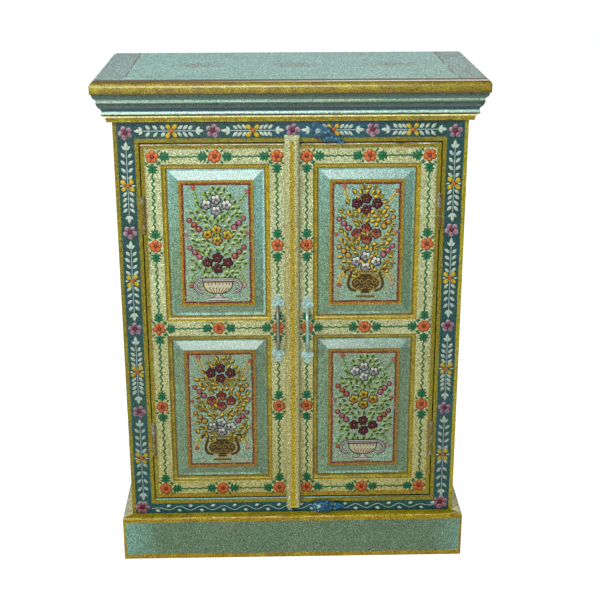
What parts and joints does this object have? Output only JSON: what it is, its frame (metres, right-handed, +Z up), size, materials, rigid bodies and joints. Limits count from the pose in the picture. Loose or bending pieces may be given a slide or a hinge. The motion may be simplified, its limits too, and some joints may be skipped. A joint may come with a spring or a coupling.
{
  "type": "painted desktop cabinet with doors",
  "caption": "Small painted wooden cabinet with a cornice, a plinth and two framed-and-panelled doors on butt hinges, held by turn latches.",
  "frame": {"origin": "on the floor under the middle of the cabinet", "axes": "+X to the right as seen from the front, +Y to the back, +Z up; the doors face -Y"},
  "size_m": [0.45, 0.229, 0.61],
  "materials": {
    "plain_wood": "bare mango wood, oiled",
    "blue_painted_wood": "blue paint with painted flowers, crackled varnish",
    "gold_painted_wood": "ochre gold paint, crackled varnish",
    "teal_painted_wood": "pale teal paint, crackled varnish",
    "cream_painted_wood": "cream paint with painted flowers, crackled varnish",
    "iron_fixings": "painted iron",
    "gold_painted_iron": "iron painted ochre gold",
    "mint_painted_iron": "iron painted pale mint, rubbed",
    "blue_painted_iron": "cast iron painted blue"
  },
  "bodies": {
    "cabinet": {"back_panel": "plain_wood", "bottom_board": "plain_wood", "cornice_front": "teal_painted_wood", "cornice_left": "teal_painted_wood", "cornice_right": "teal_painted_wood", "frame_hinge_screws": "iron_fixings", "frame_rail_bottom": "blue_painted_wood", "frame_rail_top": "blue_painted_wood", "frame_stile_left": "blue_painted_wood", "frame_stile_right": "blue_painted_wood", "latch_screws": "iron_fixings", "left_lower_hinge_frame_leaf": "gold_painted_iron", "left_lower_hinge_pin": "gold_painted_iron", "left_upper_hinge_frame_leaf": "gold_painted_iron", "left_upper_hinge_pin": "gold_painted_iron", "plinth_front": "teal_painted_wood", "plinth_left": "teal_painted_wood", "plinth_right": "teal_painted_wood", "right_lower_hinge_frame_leaf": "gold_painted_iron", "right_lower_hinge_pin": "gold_painted_iron", "right_upper_hinge_frame_leaf": "gold_painted_iron", "right_upper_hinge_pin": "gold_painted_iron", "shelf": "plain_wood", "shelf_cleat_left": "plain_wood", "shelf_cleat_right": "plain_wood", "side_board_left": "teal_painted_wood", "side_board_right": "teal_painted_wood", "top_board": "teal_painted_wood"},
    "right_door": {"cover_strip": "cream_painted_wood", "right_door_bottom_rail": "cream_painted_wood", "right_door_hinge_screws": "iron_fixings", "right_door_hinge_stile": "cream_painted_wood", "right_door_lower_beads": "gold_painted_wood", "right_door_lower_panel": "teal_painted_wood", "right_door_meeting_stile": "cream_painted_wood", "right_door_middle_rail": "cream_painted_wood", "right_door_top_rail": "cream_painted_wood", "right_door_upper_beads": "gold_painted_wood", "right_door_upper_panel": "teal_painted_wood", "right_handle": "mint_painted_iron", "right_handle_nails": "iron_fixings", "right_lower_hinge_door_leaf": "gold_painted_iron", "right_upper_hinge_door_leaf": "gold_painted_iron"},
    "left_door": {"left_door_bottom_rail": "cream_painted_wood", "left_door_hinge_screws": "iron_fixings", "left_door_hinge_stile": "cream_painted_wood", "left_door_lower_beads": "gold_painted_wood", "left_door_lower_panel": "teal_painted_wood", "left_door_meeting_stile": "cream_painted_wood", "left_door_middle_rail": "cream_painted_wood", "left_door_top_rail": "cream_painted_wood", "left_door_upper_beads": "gold_painted_wood", "left_door_upper_panel": "teal_painted_wood", "left_handle": "mint_painted_iron", "left_handle_nails": "iron_fixings", "left_lower_hinge_door_leaf": "gold_painted_iron", "left_upper_hinge_door_leaf": "gold_painted_iron"},
    "latch_top": {"latch_top": "blue_painted_iron"},
    "latch_bottom": {"latch_bottom": "blue_painted_iron"}
  },
  "joints": [
    {"name": "right_door_hinge", "type": "hinge", "parent": "cabinet", "child": "right_door", "pos_m": [0.1726, -0.0946, 0.308], "axis": [0, 0, 1], "range_deg": [0, 165]},
    {"name": "left_door_hinge", "type": "hinge", "parent": "cabinet", "child": "left_door", "pos_m": [-0.1726, -0.0946, 0.308], "axis": [0, 0, -1], "range_deg": [0, 165]},
    {"name": "latch_top_turn", "type": "hinge", "parent": "cabinet", "child": "latch_top", "pos_m": [0.0307, -0.0968, 0.551], "axis": [0, 1, 0], "range_deg": [-25, 85]},
    {"name": "latch_bottom_turn", "type": "hinge", "parent": "cabinet", "child": "latch_bottom", "pos_m": [0.033, -0.0968, 0.0689], "axis": [0, -1, 0], "range_deg": [0, 100]}
  ],
  "couplings": [
    {"joint": "left_door_hinge", "follows": "right_door_hinge", "ratio": 1}
  ]
}
